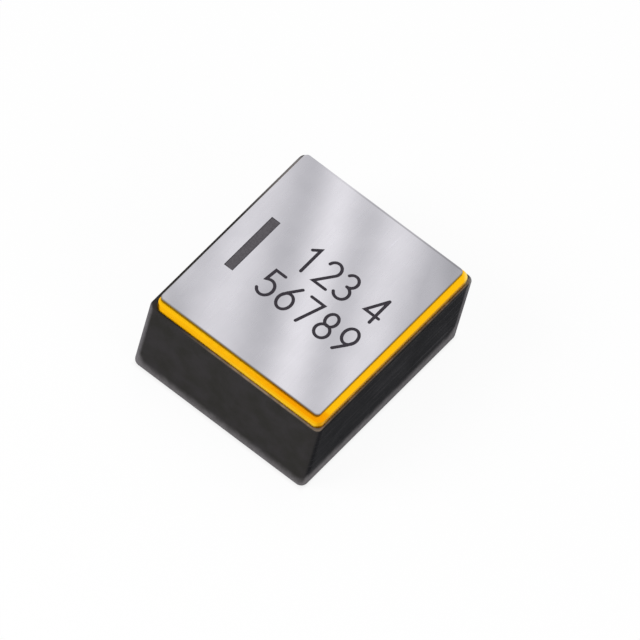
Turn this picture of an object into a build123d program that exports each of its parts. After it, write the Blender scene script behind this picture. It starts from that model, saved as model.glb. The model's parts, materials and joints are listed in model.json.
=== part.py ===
from build123d import *
import os

# Chip tantalum capacitor in a hermetic ceramic case, for surface mounting.
# Millimetres. +Z is up. X runs from the anode end (-X) to the cathode end (+X).
# The origin is the centre of the underside, on the plane of the two terminals.

os.makedirs("parts", exist_ok=True)

# Outside
LENGTH = 10.8
WIDTH = 12.7
HEIGHT = 5.9

# Ceramic case
CASE_CORNER = 0.40          # radius of the upright corners
CASE_BOTTOM_EDGE = 0.30     # rounding of the edges round the underside
CASE_RIM_EDGE = 0.10        # rounding of the rim's outer edge
WALL = 1.0
FLOOR = 0.9
CAVITY_CORNER = 0.5

# Seal: braze, ring and welded lid, one on top of the other
BRAZE_THICKNESS = 0.05
RING_SETBACK = 0.22         # case's side to ring's side, where the ring is in the middle
RING_SHIFT_X = 0.09         # the ring is brazed a little off the middle of the case
RING_SHIFT_Y = -0.10
RING_WALL = 0.66
RING_HEIGHT = 0.47
RING_CORNER = 0.40
RING_INNER_CORNER = 0.35
RING_EDGE = 0.06            # rounding of the ring's upper outer edge
LID_SETBACK = 0.175         # ring's side to lid's side, where the lid is in the middle
LID_SHIFT_X = -0.17         # the lid lies off the middle of the ring, within the play of its step
LID_SHIFT_Y = 0.10
LID_THICKNESS = 0.18
LID_CORNER = 0.25
LID_EDGE = 0.12             # rounding of the lid's upper edge
LID_STEP = 0.12             # depth of the step that centres the lid in the ring
LID_STEP_GAP = 0.22         # play of the step in the ring, on each side

# Polarity bar, sunk in the lid beside its anode edge
BAR_LENGTH = 3.9
BAR_WIDTH = 0.54
BAR_DEPTH = 0.02
BAR_SETBACK = 1.125         # lid's side to the bar
BAR_SHIFT = -0.255          # along Y, from the middle of the lid

# Solder terminals under the case
TERMINAL_THICKNESS = 0.10
TERMINAL_LENGTH = 2.30
TERMINAL_END_SETBACK = 0.40
TERMINAL_SIDE_SETBACK = 1.60
TERMINAL_CORNER = 0.20

# Metallised pads on the cavity's floor, and the filled holes below them
PAD_THICKNESS = 0.05
PAD_CORNER = 0.20
ANODE_PAD_MARGIN = 0.15     # pad's edge outside the riser's foot
CATHODE_PAD_MARGIN = 0.30   # pad's edge inside the coated block's
VIA_RADIUS = 0.15
VIA_MARGIN = 0.25           # pad's edge to the outermost hole
ANODE_VIA_COUNT = 5
CATHODE_VIA_COUNT = 9

# Sintered block and the layers on it
ELECTROLYTE_COAT = 0.10
GRAPHITE_COAT = 0.05
SILVER_COAT = 0.06
PELLET_EDGE = 0.30          # rounding of the block's long edges
PELLET_BACK_GAP = 0.30      # coated block to the cavity's cathode wall
PELLET_SIDE_GAP = 0.35      # coated block to the cavity's side walls
PELLET_TOP_GAP = 0.35       # coated block to the lid's step
GRAPHITE_SETBACK = 0.30     # block's bare end to the graphite's edge
SILVER_SETBACK = 0.55       # block's bare end to the silver's edge
ADHESIVE_THICKNESS = 0.15
ADHESIVE_MARGIN = 0.65      # bond's edge inside the coated block's
ADHESIVE_CORNER = 0.80

# Anode wire, its washer and the riser that it is welded to
WIRE_RADIUS = 0.25
WIRE_IN_PELLET = 4.0
WIRE_SPAN = 0.95            # riser to the block's bare end
WIRE_OVERHANG = 0.20        # wire's end beyond the riser
WASHER_RADIUS = 0.75
WASHER_THICKNESS = 0.25
RISER_WALL_GAP = 0.30       # cavity's anode wall to the riser's foot
RISER_THICKNESS = 0.25
RISER_BEND = 0.15           # inside radius of the bend
RISER_FOOT = 0.85
RISER_WIDTH = 2.60
RISER_TOP_WIDTH = 1.30
RISER_SHOULDER = 0.90       # height of the straight part of the riser's sides
RISER_BRAZE_THICKNESS = 0.05
RISER_BRAZE_SPREAD = 0.08   # braze beyond the foot's sides

# Heights of the stack
CASE_BASE = TERMINAL_THICKNESS
CAVITY_FLOOR = CASE_BASE + FLOOR
LID_BASE = HEIGHT - LID_THICKNESS
RING_BASE = LID_BASE - RING_HEIGHT
RIM = RING_BASE - BRAZE_THICKNESS

# Cavity, ring and lid in plan
CAVITY_LENGTH = LENGTH - 2 * WALL
CAVITY_WIDTH = WIDTH - 2 * WALL
RING_LENGTH = LENGTH - 2 * RING_SETBACK
RING_WIDTH = WIDTH - 2 * RING_SETBACK
OPENING_LENGTH = RING_LENGTH - 2 * RING_WALL
OPENING_WIDTH = RING_WIDTH - 2 * RING_WALL
LID_LENGTH = RING_LENGTH - 2 * LID_SETBACK
LID_WIDTH = RING_WIDTH - 2 * LID_SETBACK
LID_X = RING_SHIFT_X + LID_SHIFT_X
LID_Y = RING_SHIFT_Y + LID_SHIFT_Y

# Riser in plan, from the end of its foot to the face towards the block
RISER_START = -CAVITY_LENGTH / 2 + RISER_WALL_GAP
RISER_BACK = RISER_START + RISER_FOOT
WIRE_END = RISER_BACK - RISER_THICKNESS - WIRE_OVERHANG

# Block with its layers, which fills the rest of the cavity but for the gaps
COATS = ELECTROLYTE_COAT + GRAPHITE_COAT + SILVER_COAT
PELLET_FRONT = RISER_BACK + WIRE_SPAN
PELLET_BACK = CAVITY_LENGTH / 2 - PELLET_BACK_GAP - COATS
PELLET_LENGTH = PELLET_BACK - PELLET_FRONT
PELLET_WIDTH = CAVITY_WIDTH - 2 * (PELLET_SIDE_GAP + COATS)
PELLET_BASE = CAVITY_FLOOR + PAD_THICKNESS + ADHESIVE_THICKNESS + COATS
PELLET_TOP = LID_BASE - LID_STEP - PELLET_TOP_GAP - COATS
PELLET_HEIGHT = PELLET_TOP - PELLET_BASE
WIRE_Z = (PELLET_BASE + PELLET_TOP) / 2

# Pads, terminals and filled holes
RISER_BASE = CAVITY_FLOOR + PAD_THICKNESS + RISER_BRAZE_THICKNESS
ANODE_PAD_START = RISER_START - ANODE_PAD_MARGIN
ANODE_PAD_END = RISER_BACK + ANODE_PAD_MARGIN
ANODE_PAD_WIDTH = RISER_WIDTH + 2 * ANODE_PAD_MARGIN
CATHODE_PAD_START = PELLET_FRONT + SILVER_SETBACK + CATHODE_PAD_MARGIN
CATHODE_PAD_END = PELLET_BACK + COATS - CATHODE_PAD_MARGIN
CATHODE_PAD_WIDTH = PELLET_WIDTH + 2 * (COATS - CATHODE_PAD_MARGIN)
TERMINAL_X = LENGTH / 2 - TERMINAL_END_SETBACK - TERMINAL_LENGTH / 2
TERMINAL_WIDTH = WIDTH - 2 * TERMINAL_SIDE_SETBACK
TERMINAL_INNER = TERMINAL_X - TERMINAL_LENGTH / 2
ANODE_VIA_X = (ANODE_PAD_START + min(ANODE_PAD_END, -TERMINAL_INNER)) / 2
CATHODE_VIA_X = (max(CATHODE_PAD_START, TERMINAL_INNER) + CATHODE_PAD_END) / 2
ANODE_VIA_SPAN = min(ANODE_PAD_WIDTH, TERMINAL_WIDTH) - 2 * (VIA_MARGIN + VIA_RADIUS)
CATHODE_VIA_SPAN = min(CATHODE_PAD_WIDTH, TERMINAL_WIDTH) - 2 * (VIA_MARGIN + VIA_RADIUS)


def plan(length, width, corner, z, x=0, y=0):
    """Rounded rectangle, level, at height z and centred on x and y."""
    with BuildSketch(Plane.XY.offset(z)) as outline:
        with Locations((x, y)):
            RectangleRounded(length, width, corner)
    return outline.sketch


def frame(z):
    """Outline of the seal ring at height z: the ring's side and its opening."""
    with BuildSketch(Plane.XY.offset(z)) as outline:
        with Locations((RING_SHIFT_X, RING_SHIFT_Y)):
            RectangleRounded(RING_LENGTH, RING_WIDTH, RING_CORNER)
            RectangleRounded(OPENING_LENGTH, OPENING_WIDTH, RING_INNER_CORNER, mode=Mode.SUBTRACT)
    return outline.sketch


def via_row(x, span, count):
    """Row of holes through the floor, spread along Y over the span, at the floor's underside."""
    with BuildSketch(Plane.XY.offset(CASE_BASE)) as row:
        with Locations((x, 0)):
            with GridLocations(0, span / (count - 1), 1, count):
                Circle(VIA_RADIUS)
    return row.sketch


def anode_holes():
    """Outlines of the holes under the anode pad."""
    return via_row(ANODE_VIA_X, ANODE_VIA_SPAN, ANODE_VIA_COUNT)


def cathode_holes():
    """Outlines of the holes under the cathode pad."""
    return via_row(CATHODE_VIA_X, CATHODE_VIA_SPAN, CATHODE_VIA_COUNT)


def block_section(x, growth):
    """Section of the sintered block at x, grown on every side by the layers on it."""
    with BuildSketch(Plane.YZ.offset(x)) as section:
        with Locations((0, WIRE_Z)):
            RectangleRounded(PELLET_WIDTH + 2 * growth, PELLET_HEIGHT + 2 * growth, PELLET_EDGE + growth)
    return section.sketch


def wire_section(x, radius):
    """Circle on the wire's axis, at x."""
    with BuildSketch(Plane.YZ.offset(x)) as section:
        with Locations((0, WIRE_Z)):
            Circle(radius)
    return section.sketch


# Ceramic case: a tub with soft outer edges and rows of holes through its floor
with BuildPart() as ceramic_case:
    extrude(plan(LENGTH, WIDTH, CASE_CORNER, CASE_BASE), amount=RIM - CASE_BASE)
    fillet(ceramic_case.edges().group_by(Axis.Z)[0], CASE_BOTTOM_EDGE)
    fillet(ceramic_case.edges().group_by(Axis.Z)[-1], CASE_RIM_EDGE)
    extrude(plan(CAVITY_LENGTH, CAVITY_WIDTH, CAVITY_CORNER, CAVITY_FLOOR), amount=RIM - CAVITY_FLOOR,
            mode=Mode.SUBTRACT)
    extrude(anode_holes(), amount=FLOOR, mode=Mode.SUBTRACT)
    extrude(cathode_holes(), amount=FLOOR, mode=Mode.SUBTRACT)
ceramic_case.part.label = "ceramic_case"
export_step(ceramic_case.part, "parts/ceramic_case.step")

# Braze between the rim and the ring
with BuildPart() as ring_braze:
    extrude(frame(RIM), amount=BRAZE_THICKNESS)
ring_braze.part.label = "ring_braze"
export_step(ring_braze.part, "parts/ring_braze.step")

# Seal ring
with BuildPart() as seal_ring:
    extrude(frame(RING_BASE), amount=RING_HEIGHT)
    top_wires = seal_ring.faces().sort_by(Axis.Z)[-1].wires().sort_by(SortBy.LENGTH)
    fillet(top_wires[-1].edges(), RING_EDGE)
seal_ring.part.label = "seal_ring"
export_step(seal_ring.part, "parts/seal_ring.step")

# Lid: a plate with a rolled upper edge, a centring step below and the polarity bar sunk in its face
with BuildPart() as lid:
    extrude(plan(LID_LENGTH, LID_WIDTH, LID_CORNER, LID_BASE, LID_X, LID_Y), amount=LID_THICKNESS)
    fillet(lid.edges().group_by(Axis.Z)[-1], LID_EDGE)
    extrude(plan(OPENING_LENGTH - 2 * LID_STEP_GAP, OPENING_WIDTH - 2 * LID_STEP_GAP,
                 RING_INNER_CORNER - LID_STEP_GAP, LID_BASE, LID_X, LID_Y), amount=-LID_STEP)
    with BuildSketch(Plane.XY.offset(HEIGHT)):
        with Locations((LID_X - LID_LENGTH / 2 + BAR_SETBACK + BAR_WIDTH / 2, LID_Y + BAR_SHIFT)):
            Rectangle(BAR_WIDTH, BAR_LENGTH)
    extrude(amount=-BAR_DEPTH, mode=Mode.SUBTRACT)
lid.part.label = "lid"
export_step(lid.part, "parts/lid.step")

# Sintered tantalum block, with the hole that the wire fills
with BuildPart() as anode_pellet:
    extrude(block_section(PELLET_FRONT, 0), amount=PELLET_LENGTH)
    extrude(wire_section(PELLET_FRONT, WIRE_RADIUS), amount=WIRE_IN_PELLET, mode=Mode.SUBTRACT)
anode_pellet.part.label = "anode_pellet"
export_step(anode_pellet.part, "parts/anode_pellet.step")

# Tantalum wire, from inside the block to just past the riser
with BuildPart() as anode_wire:
    extrude(wire_section(WIRE_END, WIRE_RADIUS), amount=PELLET_FRONT + WIRE_IN_PELLET - WIRE_END)
anode_wire.part.label = "anode_wire"
export_step(anode_wire.part, "parts/anode_wire.step")

# Insulating washer on the wire, flat against the block
with BuildPart() as wire_washer:
    extrude(wire_section(PELLET_FRONT, WASHER_RADIUS), amount=-WASHER_THICKNESS)
    extrude(wire_section(PELLET_FRONT, WIRE_RADIUS), amount=-WASHER_THICKNESS, mode=Mode.SUBTRACT)
wire_washer.part.label = "wire_washer"
export_step(wire_washer.part, "parts/wire_washer.step")

# Solid electrolyte: a closed skin, open only round the washer
with BuildPart() as electrolyte_coat:
    extrude(block_section(PELLET_FRONT - ELECTROLYTE_COAT, ELECTROLYTE_COAT),
            amount=PELLET_LENGTH + 2 * ELECTROLYTE_COAT)
    extrude(block_section(PELLET_FRONT, 0), amount=PELLET_LENGTH, mode=Mode.SUBTRACT)
    extrude(wire_section(PELLET_FRONT, WASHER_RADIUS), amount=-ELECTROLYTE_COAT, mode=Mode.SUBTRACT)
electrolyte_coat.part.label = "electrolyte_coat"
export_step(electrolyte_coat.part, "parts/electrolyte_coat.step")

# Graphite: a cup over the electrolyte that stops short of the wire's end
with BuildPart() as graphite_coat:
    graphite_edge = PELLET_FRONT + GRAPHITE_SETBACK
    graphite_back = PELLET_BACK + ELECTROLYTE_COAT
    extrude(block_section(graphite_edge, ELECTROLYTE_COAT + GRAPHITE_COAT),
            amount=graphite_back + GRAPHITE_COAT - graphite_edge)
    extrude(block_section(graphite_edge, ELECTROLYTE_COAT), amount=graphite_back - graphite_edge,
            mode=Mode.SUBTRACT)
graphite_coat.part.label = "graphite_coat"
export_step(graphite_coat.part, "parts/graphite_coat.step")

# Silver: a shorter cup over the graphite
with BuildPart() as silver_coat:
    silver_edge = PELLET_FRONT + SILVER_SETBACK
    silver_back = PELLET_BACK + ELECTROLYTE_COAT + GRAPHITE_COAT
    extrude(block_section(silver_edge, COATS), amount=silver_back + SILVER_COAT - silver_edge)
    extrude(block_section(silver_edge, ELECTROLYTE_COAT + GRAPHITE_COAT), amount=silver_back - silver_edge,
            mode=Mode.SUBTRACT)
silver_coat.part.label = "silver_coat"
export_step(silver_coat.part, "parts/silver_coat.step")

# Metallised pads on the floor
with BuildPart() as anode_pad:
    extrude(plan(ANODE_PAD_END - ANODE_PAD_START, ANODE_PAD_WIDTH, PAD_CORNER, CAVITY_FLOOR,
                 (ANODE_PAD_START + ANODE_PAD_END) / 2), amount=PAD_THICKNESS)
anode_pad.part.label = "anode_pad"
export_step(anode_pad.part, "parts/anode_pad.step")

with BuildPart() as cathode_pad:
    extrude(plan(CATHODE_PAD_END - CATHODE_PAD_START, CATHODE_PAD_WIDTH, PAD_CORNER, CAVITY_FLOOR,
                 (CATHODE_PAD_START + CATHODE_PAD_END) / 2), amount=PAD_THICKNESS)
cathode_pad.part.label = "cathode_pad"
export_step(cathode_pad.part, "parts/cathode_pad.step")

# Silver-filled bond between the cathode pad and the coated block
with BuildPart() as cathode_adhesive:
    bond_start = silver_edge + ADHESIVE_MARGIN
    bond_end = silver_back + SILVER_COAT - ADHESIVE_MARGIN
    extrude(plan(bond_end - bond_start, PELLET_WIDTH + 2 * (COATS - ADHESIVE_MARGIN), ADHESIVE_CORNER,
                 CAVITY_FLOOR + PAD_THICKNESS, (bond_start + bond_end) / 2), amount=ADHESIVE_THICKNESS)
cathode_adhesive.part.label = "cathode_adhesive"
export_step(cathode_adhesive.part, "parts/cathode_adhesive.step")

# Riser: a bent strip, tapered to a saddle that holds the wire
with BuildPart() as anode_riser:
    riser_front = RISER_BACK - RISER_THICKNESS
    foot_top = RISER_BASE + RISER_THICKNESS
    with BuildSketch(Plane.XZ) as strip:
        with BuildLine():
            Polyline((RISER_START, RISER_BASE), (RISER_BACK, RISER_BASE), (RISER_BACK, WIRE_Z),
                     (riser_front, WIRE_Z), (riser_front, foot_top), (RISER_START, foot_top), close=True)
        make_face()
        fillet(strip.vertices().sort_by_distance((RISER_BACK, RISER_BASE))[0], RISER_BEND + RISER_THICKNESS)
        fillet(strip.vertices().sort_by_distance((riser_front, foot_top))[0], RISER_BEND)
    extrude(amount=RISER_WIDTH / 2, both=True)
    with BuildSketch(Plane.YZ.offset(RISER_START)):
        with BuildLine():
            taper = Polyline((RISER_WIDTH / 2, RISER_BASE), (RISER_WIDTH / 2, RISER_BASE + RISER_SHOULDER),
                             (RISER_TOP_WIDTH / 2, WIRE_Z), (0, WIRE_Z))
            mirror(taper, about=Plane.YZ)
            Line((-RISER_WIDTH / 2, RISER_BASE), (RISER_WIDTH / 2, RISER_BASE))
        make_face()
    extrude(amount=RISER_FOOT, mode=Mode.INTERSECT)
    extrude(wire_section(RISER_START, WIRE_RADIUS), amount=RISER_FOOT, mode=Mode.SUBTRACT)
anode_riser.part.label = "anode_riser"
export_step(anode_riser.part, "parts/anode_riser.step")

# Braze under the flat of the riser's foot
with BuildPart() as riser_braze:
    flat_length = RISER_FOOT - RISER_BEND - RISER_THICKNESS
    with BuildSketch(Plane.XY.offset(CAVITY_FLOOR + PAD_THICKNESS)):
        with Locations((RISER_START + flat_length / 2, 0)):
            Rectangle(flat_length, RISER_WIDTH + 2 * RISER_BRAZE_SPREAD)
    extrude(amount=RISER_BRAZE_THICKNESS)
riser_braze.part.label = "riser_braze"
export_step(riser_braze.part, "parts/riser_braze.step")

# Metal that fills the holes through the floor
with BuildPart() as anode_vias:
    extrude(anode_holes(), amount=FLOOR)
anode_vias.part.label = "anode_vias"
export_step(anode_vias.part, "parts/anode_vias.step")

with BuildPart() as cathode_vias:
    extrude(cathode_holes(), amount=FLOOR)
cathode_vias.part.label = "cathode_vias"
export_step(cathode_vias.part, "parts/cathode_vias.step")

# Solder terminals
with BuildPart() as anode_terminal:
    extrude(plan(TERMINAL_LENGTH, TERMINAL_WIDTH, TERMINAL_CORNER, 0, -TERMINAL_X),
            amount=TERMINAL_THICKNESS)
anode_terminal.part.label = "anode_terminal"
export_step(anode_terminal.part, "parts/anode_terminal.step")

with BuildPart() as cathode_terminal:
    extrude(plan(TERMINAL_LENGTH, TERMINAL_WIDTH, TERMINAL_CORNER, 0, TERMINAL_X),
            amount=TERMINAL_THICKNESS)
cathode_terminal.part.label = "cathode_terminal"
export_step(cathode_terminal.part, "parts/cathode_terminal.step")
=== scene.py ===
"""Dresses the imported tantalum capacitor: camera and light as in the photograph, materials and markings."""
import json
import math

import bmesh
import bpy
from mathutils import Matrix, Vector


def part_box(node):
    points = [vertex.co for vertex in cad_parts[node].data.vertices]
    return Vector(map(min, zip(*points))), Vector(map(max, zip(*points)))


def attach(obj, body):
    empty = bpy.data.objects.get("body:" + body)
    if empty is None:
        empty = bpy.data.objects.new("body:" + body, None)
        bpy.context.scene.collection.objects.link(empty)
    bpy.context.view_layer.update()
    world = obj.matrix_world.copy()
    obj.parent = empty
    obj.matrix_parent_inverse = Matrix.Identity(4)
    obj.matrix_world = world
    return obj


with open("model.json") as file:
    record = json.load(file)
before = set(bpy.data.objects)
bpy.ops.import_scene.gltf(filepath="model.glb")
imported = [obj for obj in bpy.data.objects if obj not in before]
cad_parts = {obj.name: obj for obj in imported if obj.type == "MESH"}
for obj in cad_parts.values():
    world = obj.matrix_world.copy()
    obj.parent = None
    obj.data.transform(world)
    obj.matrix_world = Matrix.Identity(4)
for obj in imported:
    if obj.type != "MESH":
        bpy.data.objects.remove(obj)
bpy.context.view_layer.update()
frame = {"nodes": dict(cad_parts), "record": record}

MM = 0.001                                  # one millimetre, in the scene's metres
PICTURE = 640                               # side of the photograph, in pixels

# Camera: the photograph is a nearly parallel view, so a very long lens stands far away.
AZIMUTH, ELEVATION, ROLL = (math.radians(angle) for angle in (24.117, 55.024, 16.709))
PIXELS_PER_MM = 20.275
SENSOR_MM, LENS_MM = 36.0, 1200.0
CLIP_START, CLIP_END = 50, 20000            # distances from the camera, in millimetres
LOOK_AT = Vector((0.1235, 1.663, 1.0264)) * MM

level_right = Vector((math.cos(AZIMUTH), math.sin(AZIMUTH), 0))
level_up = Vector((-math.sin(AZIMUTH) * math.sin(ELEVATION), math.cos(AZIMUTH) * math.sin(ELEVATION),
                   math.cos(ELEVATION)))
right = math.cos(ROLL) * level_right + math.sin(ROLL) * level_up
up = math.cos(ROLL) * level_up - math.sin(ROLL) * level_right
towards = right.cross(up)

view_width = PICTURE / PIXELS_PER_MM * MM
distance = view_width * LENS_MM / SENSOR_MM
camera_data = bpy.data.cameras.new("camera")
camera_data.lens, camera_data.sensor_width = LENS_MM, SENSOR_MM
camera_data.clip_start, camera_data.clip_end = CLIP_START * MM, CLIP_END * MM
camera = bpy.data.objects.new("camera", camera_data)
camera.matrix_world = (Matrix.Translation(LOOK_AT + towards * distance)
                       @ Matrix((right, up, towards)).transposed().to_4x4())
bpy.context.scene.collection.objects.link(camera)
bpy.context.scene.camera = camera
bpy.context.scene.view_settings.view_transform = "Standard"


def linear(r, g, b):
    """An sRGB colour from 0 to 255 as a linear RGBA value."""
    return tuple((v / 12.92 if v <= 0.04045 else ((v + 0.055) / 1.055) ** 2.4)
                 for v in (c / 255 for c in (r, g, b))) + (1.0,)


NOISE_RANGE = (0.3, 0.7)                    # most of a cloud noise lies in this range


class Graph:
    """A node tree with short names for what the materials here need. Coordinates are in millimetres."""

    def __init__(self, name, **shader_values):
        self.material = bpy.data.materials.new(name)
        self.material.use_nodes = True
        self.tree = self.material.node_tree
        self.shader = self.tree.nodes["Principled BSDF"]
        for key, value in shader_values.items():
            self.shader.inputs[key.replace("_", " ")].default_value = value
        coordinates = self.tree.nodes.new("ShaderNodeTexCoord")
        self.mm = self.node("VectorMath", {0: coordinates.outputs["Object"], "Scale": 1 / MM},
                            operation="SCALE").outputs[0]
        self.x, self.y, self.z = self.split(self.mm)
        self.normal = self.split(coordinates.outputs["Normal"])

    def put(self, socket, value):
        if isinstance(value, bpy.types.NodeSocket):
            self.tree.links.new(value, socket)
        else:
            socket.default_value = value

    def node(self, kind, inputs, **settings):
        made = self.tree.nodes.new("ShaderNode" + kind)
        for key, value in settings.items():
            setattr(made, key, value)
        for key, value in inputs.items():
            self.put(made.inputs[key], value)
        return made

    def split(self, vector):
        return tuple(self.node("SeparateXYZ", {0: vector}).outputs)

    def math(self, operation, a, b=0.0):
        return self.node("Math", {0: a, 1: b}, operation=operation).outputs[0]

    def absolute(self, value):
        return self.math("ABSOLUTE", value)

    def product(self, *factors):
        total = factors[0]
        for factor in factors[1:]:
            total = self.math("MULTIPLY", total, factor)
        return total

    def total(self, *terms):
        total = terms[0]
        for term in terms[1:]:
            total = self.math("ADD", total, term)
        return total

    def ramp(self, value, low, high, start=0.0, end=1.0):
        """start at low, end at high, and a smooth step between."""
        limits = {"From Min": low, "From Max": high, "To Min": start, "To Max": end}
        return self.node("MapRange", {"Value": value, **limits},
                         interpolation_type="SMOOTHSTEP").outputs["Result"]

    def noise(self, scale, detail=3.0, roughness=0.5, stretch=(1, 1, 1), shift=(0, 0, 0)):
        """Cloud noise about 0.5. scale is features per millimetre, times stretch along each axis."""
        place = self.node("VectorMath", {0: self.mm, 1: stretch, 2: shift},
                          operation="MULTIPLY_ADD").outputs[0]
        return self.node("TexNoise", {"Vector": place, "Scale": scale, "Detail": detail,
                                      "Roughness": roughness}).outputs["Fac"]

    def spread(self, noise, start=0.0, end=1.0):
        """A noise as a value that runs from start to end."""
        return self.ramp(noise, *NOISE_RANGE, start, end)

    def from_middle(self, place, middle):
        return self.absolute(self.math("SUBTRACT", place, middle))

    def outside(self, node):
        """How far a point lies outside the box of a CAD node, seen from above."""
        low, high = (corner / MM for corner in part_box(node))
        return self.math("MAXIMUM", *(
            self.math("SUBTRACT", self.from_middle(place, (a + b) / 2), (b - a) / 2)
            for place, a, b in ((self.x, low.x, high.x), (self.y, low.y, high.y))))

    def mix(self, factor, a, b):
        return self.node("MixRGB", {0: factor, 1: a, 2: b}).outputs[0]

    def bump(self, height, depth_mm):
        return self.node("Bump", {"Height": height, "Distance": depth_mm * MM}).outputs["Normal"]

    def finish(self, **links):
        for key, value in links.items():
            self.put(self.shader.inputs[key.replace("_", " ")], value)
        return self.material


# In the materials below a pair is where something starts and where it is full. Places are in millimetres.
# The product of x and y tells the two corners where both have the same sign from the other two.

END_FACES = (0.6, 0.95)                     # the case's cut ends face X: size of the normal's X
END_SHADE_SHARE, END_OUT = 0.9, 0.32              # how dark the painted shade makes them, and how much further out they count as
STREAKS, STREAK_SHARE = (0.52, 0.70), 0.35
GLOW_CORNERS = (20, 30)                     # x times y
FOOT_Z = (1.05, 0.25)
UNDERSIDE, UNDERSIDE_SHARE = (-0.8, -0.98), 0.15                        # the normal's Z
FOOT_WAVER, TAPE_WAVER = 0.04, 0.08         # how far the edge of the foot's painted light goes up and down
FOOT_CLIMB, CLIMB_OUT = 0.45, (11.0, 11.5)  # how much higher it goes on ends and at corners: |x| + |y|
UPRIGHT_OUT, UPRIGHT_END_SHARE = (11.33, 11.56), 0.75                   # |x| + |y|
LEDGE_TINT_Z, LEDGE_TINT_OUT = (5.12, 5.185), (0.14, 0.06)                        # height, and out from the ring
LEDGE_TINT_START_X, LEDGE_TINT_STOP_X = (-3.8, 0.2), (5.37, 5.31)
RIM_Z, RIM_X = (5.02, 5.14), (-5.0, -5.1)
RIM_START_Y, RIM_STOP_Y, RIM_SHARE = (0.5, 5.5), (6.2, 5.9), 0.6
FAR_Z, FAR_CORNER, FAR_SHARE = (4.6, 5.1), (31.0, 32.4), 0.8            # height, and x times y
FAR_SIDE = (0, 1)                           # along X: tells the far corner from the one opposite


def ceramic():
    """Black fired alumina in thin tape layers: matt, faintly mottled, with painted shade on its ends, painted
    floor light round its foot and painted highlights up two corners.
    """
    g = Graph("black_ceramic", Specular_IOR_Level=0.02)
    mottle = g.noise(0.8, 4, 0.55)
    grain = g.noise(26, 2, 0.6)
    patchiness = g.noise(2.2, 4, 0.6)
    tapes = g.noise(1.0, 4, 0.65, stretch=(0.16, 0.16, 7.0), shift=(3.1, 0.7, 1.9))
    colour = g.mix(g.spread(mottle), linear(45, 44, 42), linear(51, 49, 50))

    # The cut ends are painted darker as shade, with streaks along the tapes.
    ends = g.ramp(g.absolute(g.normal[0]), *END_FACES)
    colour = g.mix(g.product(ends, END_SHADE_SHARE), colour, linear(14, 15, 19))
    streaks = g.ramp(tapes, *STREAKS, 0, STREAK_SHARE)
    colour = g.mix(g.product(streaks, ends), colour, linear(84, 82, 86))

    # Painted grey light round the foot, standing for light from the white floor, which reaches higher on the
    # ends, and painted highlights up two of the corners.
    outward = g.total(g.absolute(g.x), g.absolute(g.y), g.product(ends, END_OUT))
    corner = g.ramp(g.product(g.x, g.y), *GLOW_CORNERS)
    glow_height = g.total(g.z, g.product(ends, -FOOT_CLIMB), g.spread(patchiness, -FOOT_WAVER, FOOT_WAVER),
                     g.product(ends, g.spread(tapes, -TAPE_WAVER, TAPE_WAVER)),
                     g.product(g.ramp(outward, *CLIMB_OUT, 0, -FOOT_CLIMB), corner))
    foot = g.product(g.ramp(glow_height, *FOOT_Z), g.spread(patchiness, 1.0, 0.85),
                     g.ramp(g.normal[2], *UNDERSIDE, 1.0, UNDERSIDE_SHARE))
    colour = g.mix(foot, colour, linear(112, 109, 111))
    upright = g.product(g.ramp(outward, *UPRIGHT_OUT), corner, g.spread(patchiness, 0.8, 1.0),
                        g.ramp(ends, 0, 1, 1, UPRIGHT_END_SHARE))
    colour = g.mix(upright, colour, linear(112, 109, 112))

    # The top: beige along the ledge beside the ring, grey along one side and at the far corner.
    ledge_tint = g.product(g.ramp(g.z, *LEDGE_TINT_Z), g.ramp(g.outside("seal_ring"), *LEDGE_TINT_OUT),
                      g.ramp(g.x, *LEDGE_TINT_START_X), g.ramp(g.x, *LEDGE_TINT_STOP_X),
                      g.ramp(patchiness, 0.4, 0.62, 0.6, 1.0))
    colour = g.mix(ledge_tint, colour, linear(136, 120, 104))
    rim = g.product(g.ramp(g.z, *RIM_Z), g.ramp(g.x, *RIM_X), g.ramp(g.y, *RIM_START_Y, 0, RIM_SHARE),
                    g.ramp(g.y, *RIM_STOP_Y))
    far = g.product(g.ramp(g.z, *FAR_Z), g.ramp(g.product(g.x, g.y), *FAR_CORNER, 0, FAR_SHARE),
                    g.ramp(g.x, *FAR_SIDE))
    colour = g.mix(g.math("MAXIMUM", rim, far), colour, linear(140, 138, 140))

    height = g.total(g.product(grain, 0.35), g.product(tapes, ends, 0.8))
    return g.finish(Base_Color=colour, Roughness=g.ramp(mottle, 0.2, 0.8, 0.72, 0.6),
                    Normal=g.bump(height, 0.010))


SIDE_FACES = (0.8, 0.3)                     # the ring's sides are upright: the normal's Z
PALE_TONES, PALE_PER_MM = (0.30, 0.62), -0.045
WARM_END_Y, WARM_DEPTH = (-5.9, -4.6), 0.45
LOW_Z, LOW_X = (5.56, 5.38), (-3.5, 1.0)
LOW_FACES, SHADED_SIDE_FACES = (-0.3, -0.8), (0.3, 0.8)                        # the normal's Y, and its X
PALE_CORNER, PALE_CORNER_SHARE = (28.6, 30.2), 0.8                      # x times y
BRAZE_SHADE_Z, BRAZE_SHADE_SHARE = (5.27, 5.22), 0.7


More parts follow.
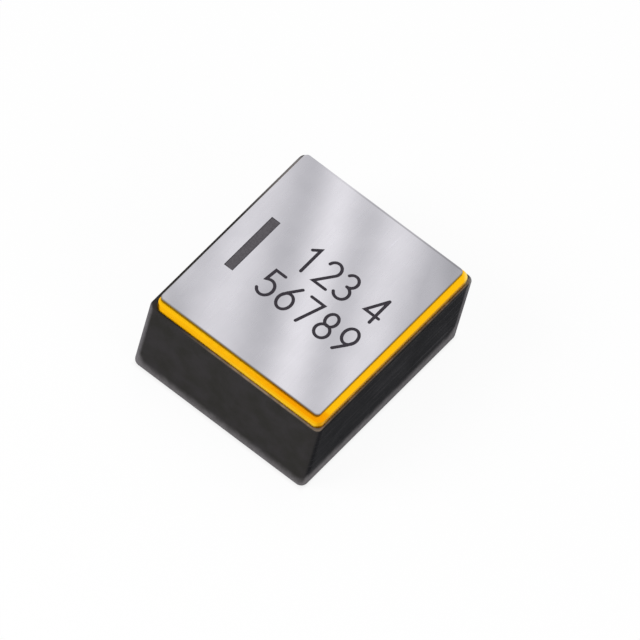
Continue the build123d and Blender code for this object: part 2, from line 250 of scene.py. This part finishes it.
def gold():
    """Gold plate on machined metal: fine grain, random tone with paler and warmer runs of painted reflection,
    painted reflection and highlights on its sides, and painted shade at the braze.
    """
    g = Graph("gold_plate", Metallic=1.0, Specular_Tint=(1.0, 0.92, 0.6, 1.0))
    grain = g.noise(9, 2, 0.5, stretch=(1, 1, 2.5))
    drawn = g.noise(1.6, 3, 0.6, stretch=(0.5, 0.5, 5))
    # Tone that varies at random, with a paler run towards -X and a warmer -Y side painted in as reflection.
    pale = g.total(g.noise(0.9, 4, 0.6), g.product(g.x, PALE_PER_MM),
                   g.ramp(g.y, *WARM_END_Y, 0, WARM_DEPTH))
    colour = g.mix(g.ramp(pale, *PALE_TONES), linear(247, 160, 5), linear(255, 192, 18))

    # The sides: a yellower painted reflection, a painted highlight low down on one of them and painted shade
    # on the next.
    side = g.ramp(g.normal[2], *SIDE_FACES)
    colour = g.mix(g.product(side, g.ramp(drawn, 0.3, 0.6, 0.6, 1.0)), colour, linear(255, 186, 2))
    low = g.product(side, g.ramp(g.z, *LOW_Z), g.ramp(g.x, *LOW_X), g.ramp(g.normal[1], *LOW_FACES))
    colour = g.mix(low, colour, linear(255, 205, 46))
    colour = g.mix(g.product(side, g.ramp(g.normal[0], *SHADED_SIDE_FACES)), colour, linear(222, 156, 2))
    # A painted highlight at the far corner.
    far = g.product(g.ramp(g.product(g.x, g.y), *PALE_CORNER, 0, PALE_CORNER_SHARE),
                    g.ramp(g.x, *FAR_SIDE))
    colour = g.mix(far, colour, linear(255, 226, 120))
    # Painted shade along the foot of the ring, at the braze line.
    colour = g.mix(g.product(g.ramp(g.z, *BRAZE_SHADE_Z), BRAZE_SHADE_SHARE), colour, linear(120, 86, 40))
    return g.finish(Base_Color=colour, Roughness=g.spread(grain, 0.24, 0.32),
                    Normal=g.bump(grain, 0.0003))


BAND_TURN = math.radians(24.1)              # direction across the lid's bands, from X
BANDS = ((14.3, 1.695, 1.66), (8.8, 0.629, 0.37), (2.9, 2.451, 1.31))   # height, pitch and phase
BAND_SLOPE, BAND_CLOUD = -1.34, 2.5
BAND_LOW, BAND_HIGH = -20.5, 24.5
LID_CORNERS, LID_CORNER_SHARE = (17, 27), 0.45                          # x times y
ROUNDED = (0.97, 0.4)                       # the normal's Z on the lid's rounded edge
NEAR_FACES = (-0.2, 0.2)                    # the normal's X less its Y
FAR_EDGE_Y, FAR_EDGE_SHARE = (-6, 0), 0.1
FAR_LINE_START_Y, FAR_LINE_STOP_Y = (5.77, 5.81), (5.90, 5.86)
FAR_LINE_X, FAR_LINE_SHARE = (-5, 1), 0.5


def nickel():
    """The lid's nickel plate: satin, with soft straight bands of painted reflection, painted shade at two
    corners and a painted dark reflection on its rounded edge.
    """
    g = Graph("nickel_plate", Metallic=1.0)
    rolled = g.noise(2.4, 4, 0.6, stretch=(3.2, 0.35, 1))
    # The bands are painted reflection: light and dark stripes in the colour, fixed to the lid.
    across = g.total(g.product(g.x, math.cos(BAND_TURN)), g.product(g.y, math.sin(BAND_TURN)))
    waves = [g.product(g.math("SINE", g.total(g.product(across, pitch), phase)), height)
             for height, pitch, phase in BANDS]
    tone = g.total(*waves, g.product(across, BAND_SLOPE),
                   g.spread(g.noise(0.5, 2), -BAND_CLOUD, BAND_CLOUD))
    share = g.node("MapRange", {"Value": tone, "From Min": BAND_LOW, "From Max": BAND_HIGH})
    colour = g.mix(share.outputs["Result"], linear(183, 182, 188), linear(229, 227, 233))
    colour = g.mix(g.ramp(rolled, 0.35, 0.65, 0, 0.05), colour, linear(170, 168, 174))
    # Painted shade at the two corners where x and y have the same sign.
    corners = g.ramp(g.product(g.x, g.y), *LID_CORNERS, 0, LID_CORNER_SHARE)
    colour = g.mix(corners, colour, linear(130, 131, 136))

    # The rounded edge is painted darker as a reflection of the dark case, least along the far sides, where a
    # darker grey line shows inside it.
    near = g.ramp(g.math("SUBTRACT", g.normal[0], g.normal[1]), *NEAR_FACES)
    edge = g.product(g.ramp(g.normal[2], *ROUNDED),
                     g.math("MAXIMUM", near, g.ramp(g.y, *FAR_EDGE_Y, 1.0, FAR_EDGE_SHARE)))
    colour = g.mix(edge, colour, linear(132, 132, 130))
    # A darker grey line just inside the lid's +Y edge.
    far_line = g.product(g.ramp(g.y, *FAR_LINE_START_Y), g.ramp(g.y, *FAR_LINE_STOP_Y),
                     g.ramp(g.x, *FAR_LINE_X, 0, FAR_LINE_SHARE))
    colour = g.mix(far_line, colour, linear(118, 116, 119))
    return g.finish(Base_Color=colour, Roughness=g.spread(rolled, 0.27, 0.31),
                    Normal=g.bump(rolled, 0.0002))


BAR_CENTRE, BAR_SIZE, BAR_DEPTH = (-3.69, -0.255), (0.54, 3.90), 0.02
BAR_CELLS = (2, 8)                          # faces across and along the bar
RECESS_SHADE_RIM = (0.07, 0.02)                    # distance from the bar's edge


def marking(name, dark, light, rim=None):
    """Laser-darkened metal: matt, with the grain of the laser's dots, and on request a dark rim round the
    bar, painted shade at the edges of its recess.
    """
    g = Graph(name, Specular_IOR_Level=0.2)
    dots = g.noise(12, 3, 0.6)
    colour = g.mix(g.ramp(dots, 0.35, 0.65), linear(*dark), linear(*light))
    if rim:
        inside = [g.math("SUBTRACT", size / 2, g.from_middle(place, centre))
                  for place, centre, size in zip((g.x, g.y), BAR_CENTRE, BAR_SIZE)]
        # The rim is painted shade along the edges of the bar's recess.
        colour = g.mix(g.ramp(g.math("MINIMUM", *inside), *RECESS_SHADE_RIM), colour, linear(*rim))
    return g.finish(Base_Color=colour, Roughness=g.spread(dots, 0.5, 0.65), Normal=g.bump(dots, 0.003))


ROUGHNESS_SPREAD = 0.08


def hidden(name, light, dark, metallic, roughness, scale, depth_mm):
    """A part sealed inside, in two tones of its own substance, with its grain."""
    g = Graph(name, Metallic=metallic)
    grain = g.noise(scale, 5, 0.65)
    return g.finish(Base_Color=g.mix(g.spread(grain), linear(*dark), linear(*light)),
                    Roughness=g.spread(grain, roughness - ROUGHNESS_SPREAD, roughness + ROUGHNESS_SPREAD),
                    Normal=g.bump(grain, depth_mm))


FINISHES = {
    "black_ceramic": ceramic(),
    "gold_plate": gold(),
    "nickel_plate": nickel(),
}
FIGURE_INK = marking("laser_mark", (38, 34, 41), (52, 48, 55))
BAR_INK = marking("laser_bar", (74, 71, 75), (88, 85, 89), rim=(56, 53, 58))
for name, *values in (
        ("sintered_tantalum", (88, 90, 96), (56, 58, 64), 0.3, 0.75, 14, 0.03),
        ("tantalum_wire", (132, 134, 140), (104, 106, 112), 1.0, 0.35, 10, 0.003),
        ("fluoropolymer", (236, 234, 228), (222, 220, 212), 0.0, 0.45, 6, 0.003),
        ("manganese_dioxide", (46, 42, 42), (24, 22, 24), 0.0, 0.8, 16, 0.02),
        ("graphite", (58, 58, 60), (38, 38, 40), 0.2, 0.55, 16, 0.006),
        ("silver_paint", (190, 188, 184), (160, 158, 154), 0.8, 0.5, 12, 0.008),
        ("silver_adhesive", (176, 172, 164), (140, 136, 128), 0.6, 0.55, 9, 0.012),
        ("nickel_strip", (190, 186, 176), (168, 164, 154), 1.0, 0.3, 7, 0.003),
        ("braze_alloy", (206, 196, 176), (176, 166, 148), 1.0, 0.35, 9, 0.005),
        ("tungsten_fill", (120, 120, 122), (92, 92, 94), 0.8, 0.6, 14, 0.01)):
    FINISHES[name] = hidden(name, *values)

for part in frame["record"]["subparts"]:
    slots = frame["nodes"][part["node"]].data.materials
    slots.clear()
    slots.append(FINISHES[part["material_slot"]])


# Markings: thin closed ribbons on the lid and a filling in the bar's recess, all in millimetres.
LID_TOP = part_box("lid")[1].z / MM
MARK_RISE, LAYER_RISE = 0.004, 0.001        # a mark above the lid, and a crossing stroke above that
STROKE, FIGURE_HEIGHT, FIGURE_WIDTH = 0.17, 1.85, 1.0
CAP_STEPS, MITRE_LIMIT = 6, 0.3
# Each row is its height along Y, and its figures with their middles along X.
ROWS = ((1.00, ((-1.04, "1"), (0.20, "2"), (1.31, "3"), (3.15, "4"))),
        (-1.49, ((-1.60, "5"), (-0.44, "6"), (0.78, "7"), (1.97, "8"), (3.21, "9"))))


def arc(cx, cy, rx, ry, start, end, count=20):
    """Points on part of an ellipse, between two angles in degrees."""
    angles = (math.radians(start + (end - start) * i / (count - 1)) for i in range(count))
    return [(cx + rx * math.cos(a), cy + ry * math.sin(a)) for a in angles]


def loop(cx, cy, rx, ry, count=36):
    """Points round a whole ellipse. The last joins the first."""
    return arc(cx, cy, rx, ry, 0, 360 - 360 / count, count)


# Centre lines of plain figures, each in a box one unit wide and two high. A loop is marked True.
FIGURES = {
    "1": [([(0.20, 1.66), (0.60, 2.0), (0.60, 0)], False)],
    "2": [(arc(0.5, 1.48, 0.44, 0.52, 165, -32) + [(0.04, 0), (0.98, 0)], False)],
    "3": [(arc(0.46, 1.52, 0.42, 0.48, 150, -90), False), (arc(0.46, 0.52, 0.48, 0.52, 90, -150), False)],
    "4": [([(0.76, 2.0), (0.0, 0.56), (1.02, 0.56)], False), ([(0.76, 2.0), (0.76, 0)], False)],
    "5": [([(0.90, 2.0), (0.20, 2.0), (0.12, 1.12)] + arc(0.46, 0.62, 0.50, 0.62, 112, -145), False)],
    "6": [(loop(0.5, 0.62, 0.46, 0.62), True), ([(0.82, 2.0), (0.26, 1.20), (0.08, 0.84)], False)],
    "7": [([(0.02, 2.0), (0.98, 2.0), (0.34, 0)], False)],
    "8": [(loop(0.5, 1.50, 0.38, 0.50), True), (loop(0.5, 0.52, 0.46, 0.52), True)],
    "9": [(loop(0.5, 1.38, 0.46, 0.62), True), ([(0.18, 0), (0.74, 0.80), (0.92, 1.16)], False)],
}


def cap_pair(point, offset, turn):
    """A left and a right point on a ribbon's round end, each turned about the end's middle."""
    return point + Matrix.Rotation(turn, 2) @ offset, point - Matrix.Rotation(-turn, 2) @ offset


def ribbon(mesh, points, closed, bottom, top):
    """Adds a closed flat ribbon of the stroke's width along points, with round ends or joined to itself."""
    points = [Vector(p) for p in points]
    count, half = len(points), STROKE / 2

    def side(i):
        """Offset from point i to the ribbon's left edge, mitred between the two runs that meet there."""
        runs = [points[b % count] - points[a % count] for a, b in ((i - 1, i), (i, i + 1))
                if closed or (a >= 0 and b < count)]
        normals = [Vector((-r.y, r.x)).normalized() for r in runs]
        middle = sum(normals, Vector((0, 0))).normalized()
        return middle * half / max(MITRE_LIMIT, middle.dot(normals[0]))

    offsets = [side(i) for i in range(count)]
    pairs = [(p + o, p - o) for p, o in zip(points, offsets)]
    if closed:
        pairs.append(pairs[0])
    else:
        turns = [math.pi / 2 * k / CAP_STEPS for k in range(1, CAP_STEPS)]
        first = [cap_pair(points[0], offsets[0], turn) for turn in reversed(turns)]
        last = [cap_pair(points[-1], offsets[-1], -turn) for turn in turns]
        pairs = first + pairs + last
    made = {}

    def vertex(p, z):
        """The vertex at p and height z, made once."""
        key = (round(p.x, 6), round(p.y, 6), z)
        if key not in made:
            made[key] = mesh.verts.new((p.x, p.y, z))
        return made[key]

    for (a, b), (c, d) in zip(pairs, pairs[1:]):
        for z in (bottom, top):
            mesh.faces.new([vertex(p, z) for p in (a, b, d, c)])
        for p, q in ((a, c), (b, d)):
            mesh.faces.new([vertex(p, bottom), vertex(q, bottom), vertex(q, top), vertex(p, top)])
    if not closed:
        for a, b in (pairs[0], pairs[-1]):
            mesh.faces.new([vertex(a, bottom), vertex(b, bottom), vertex(b, top), vertex(a, top)])


def slab(mesh, middle, size, cells, bottom, top):
    """Adds a closed slab whose top and bottom are divided into cells along X and Y."""
    across, along = cells
    width, length = size
    low_x, low_y = middle[0] - width / 2, middle[1] - length / 2
    verts = {}
    for z in (bottom, top):
        for i in range(across + 1):
            for j in range(along + 1):
                place = (low_x + width * i / across, low_y + length * j / along, z)
                verts[i, j, z] = mesh.verts.new(place)
        for i in range(across):
            for j in range(along):
                mesh.faces.new([verts[i + di, j + dj, z] for di, dj in ((0, 0), (1, 0), (1, 1), (0, 1))])
    rim = ([(i, 0) for i in range(across)] + [(across, j) for j in range(along)]
           + [(i, along) for i in range(across, 0, -1)] + [(0, j) for j in range(along, 0, -1)])
    for (i, j), (k, m) in zip(rim, rim[1:] + rim[:1]):
        mesh.faces.new([verts[i, j, bottom], verts[k, m, bottom], verts[k, m, top], verts[i, j, top]])


def marks(name, mesh, ink):
    """Turns a mesh in millimetres into a piece of laser marking on the lid."""
    bmesh.ops.recalc_face_normals(mesh, faces=mesh.faces)
    bmesh.ops.scale(mesh, vec=(MM, MM, MM), verts=mesh.verts)
    data = bpy.data.meshes.new(name)
    mesh.to_mesh(data)
    mesh.free()
    data.materials.append(ink)
    made = bpy.data.objects.new(name, data)
    bpy.context.scene.collection.objects.link(made)
    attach(made, "root")


figures = bmesh.new()
for row_y, row in ROWS:
    for middle_x, figure in row:
        for layer, (line, closed) in enumerate(FIGURES[figure]):
            placed = [(middle_x + (px - 0.5) * (FIGURE_WIDTH - STROKE),
                       row_y + (py / 2 - 0.5) * (FIGURE_HEIGHT - STROKE)) for px, py in line]
            ribbon(figures, placed, closed, LID_TOP, LID_TOP + MARK_RISE + LAYER_RISE * layer)
marks("lid_numbers", figures, FIGURE_INK)

bar = bmesh.new()
slab(bar, BAR_CENTRE, BAR_SIZE, BAR_CELLS, LID_TOP - BAR_DEPTH, LID_TOP - BAR_DEPTH / 2)
marks("polarity_bar", bar, BAR_INK)


def shown(tree):
    """1 for rays that show a surface, to the camera or in metal or glass, and 0 for rays that light."""
    rays = tree.nodes.new("ShaderNodeLightPath").outputs
    value = rays["Is Camera Ray"]
    for ray in ("Is Glossy Ray", "Is Transmission Ray"):
        either = tree.nodes.new("ShaderNodeMath")
        either.operation = "MAXIMUM"
        tree.links.new(value, either.inputs[0])
        tree.links.new(rays[ray], either.inputs[1])
        value = either.outputs[0]
    return value


# Floor: white paper that shows a share of plain white where it is seen, so that a soft shadow is left.
# The share is less round the case's foot, in a range of millimetres out from its sides.
FLOOR_HALF, FLOOR_DROP = 600, -0.005        # half its side, and its height, in millimetres
PAPER, WHITE_SHARE = 0.86, 0.93
CONTACT, CONTACT_SHARE = (-0.2, 0.1), 0.75
floor_mesh = bpy.data.meshes.new("floor")
corners = [(x * FLOOR_HALF * MM, y * FLOOR_HALF * MM, 0) for x, y in ((-1, -1), (1, -1), (1, 1), (-1, 1))]
floor_mesh.from_pydata(corners, [], [(0, 1, 2, 3)])
floor = bpy.data.objects.new("floor", floor_mesh)
floor.location.z = FLOOR_DROP * MM
bpy.context.scene.collection.objects.link(floor)
paper = Graph("floor", Roughness=0.9, Specular_IOR_Level=0.0, Base_Color=(PAPER, PAPER, PAPER, 1))
white = paper.node("Emission", {})
share = paper.ramp(paper.outside("ceramic_case"), *CONTACT, CONTACT_SHARE, WHITE_SHARE)
surface = paper.node("MixShader", {0: paper.product(shown(paper.tree), share),
                                   1: paper.shader.outputs[0], 2: white.outputs[0]})
paper.put(paper.tree.nodes["Material Output"].inputs["Surface"], surface.outputs[0])
floor.data.materials.append(paper.material)

# World: white where it is seen, directly or in metal, and a softer fill light for the rest.
FILL = 0.42
world = bpy.data.worlds.new("studio")
bpy.context.scene.world = world
world.use_nodes = True
links, nodes = world.node_tree.links, world.node_tree.nodes
strength = nodes.new("ShaderNodeMapRange")
strength.inputs["To Min"].default_value = FILL
links.new(shown(world.node_tree), strength.inputs["Value"])
links.new(strength.outputs["Result"], nodes["Background"].inputs["Strength"])
nodes["Background"].inputs["Color"].default_value = (1, 1, 1, 1)


def softbox(name, place_mm, size_mm, white_share):
    """A square lamp that faces the part. white_share is what it adds to a white sheet square to it."""
    data = bpy.data.lights.new(name, "AREA")
    data.size = size_mm * MM
    place = Vector(place_mm) * MM
    data.energy = white_share * math.pi ** 2 * place.length_squared
    made = bpy.data.objects.new(name, data)
    made.matrix_world = Matrix.Translation(place) @ place.to_track_quat("Z", "Y").to_matrix().to_4x4()
    made.visible_glossy = False
    bpy.context.scene.collection.objects.link(made)


softbox("key", (-110, -150, 160), 120, 0.62)
softbox("top", (-20, 60, 220), 140, 0.2)
softbox("side", (170, -30, 90), 120, 0.3)
